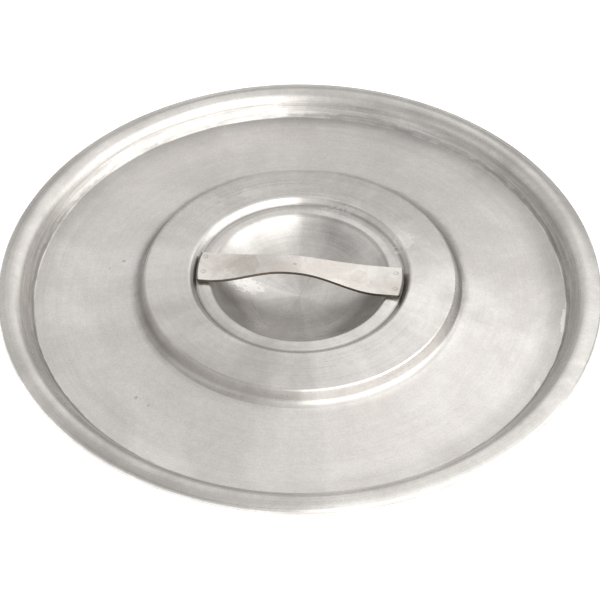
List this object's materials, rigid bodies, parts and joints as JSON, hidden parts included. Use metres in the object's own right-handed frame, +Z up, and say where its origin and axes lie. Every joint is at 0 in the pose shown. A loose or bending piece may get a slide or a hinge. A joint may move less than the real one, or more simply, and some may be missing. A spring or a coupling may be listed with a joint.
{
  "type": "kettle lid",
  "caption": "Round pressed stainless kettle lid with a recessed floor, raised centre, finger dish and a welded strap handle",
  "frame": {"origin": "on the lid's axis, at the underside of its flat resting ring", "axes": "+Z points up through the handle, +X runs along the strap handle, +Y across it"},
  "size_m": [0.37, 0.37, 0.0287],
  "materials": {
    "lid_steel": "satin, spun-brushed",
    "strap_steel": "matt, lengthwise rolled",
    "weld_steel": "fused, unpolished"
  },
  "bodies": {
    "root": {"lid_shell": "lid_steel", "strap_handle": "strap_steel", "weld_nugget_left_back": "weld_steel", "weld_nugget_left_front": "weld_steel", "weld_nugget_right_back": "weld_steel", "weld_nugget_right_front": "weld_steel"}
  },
  "joints": []
}
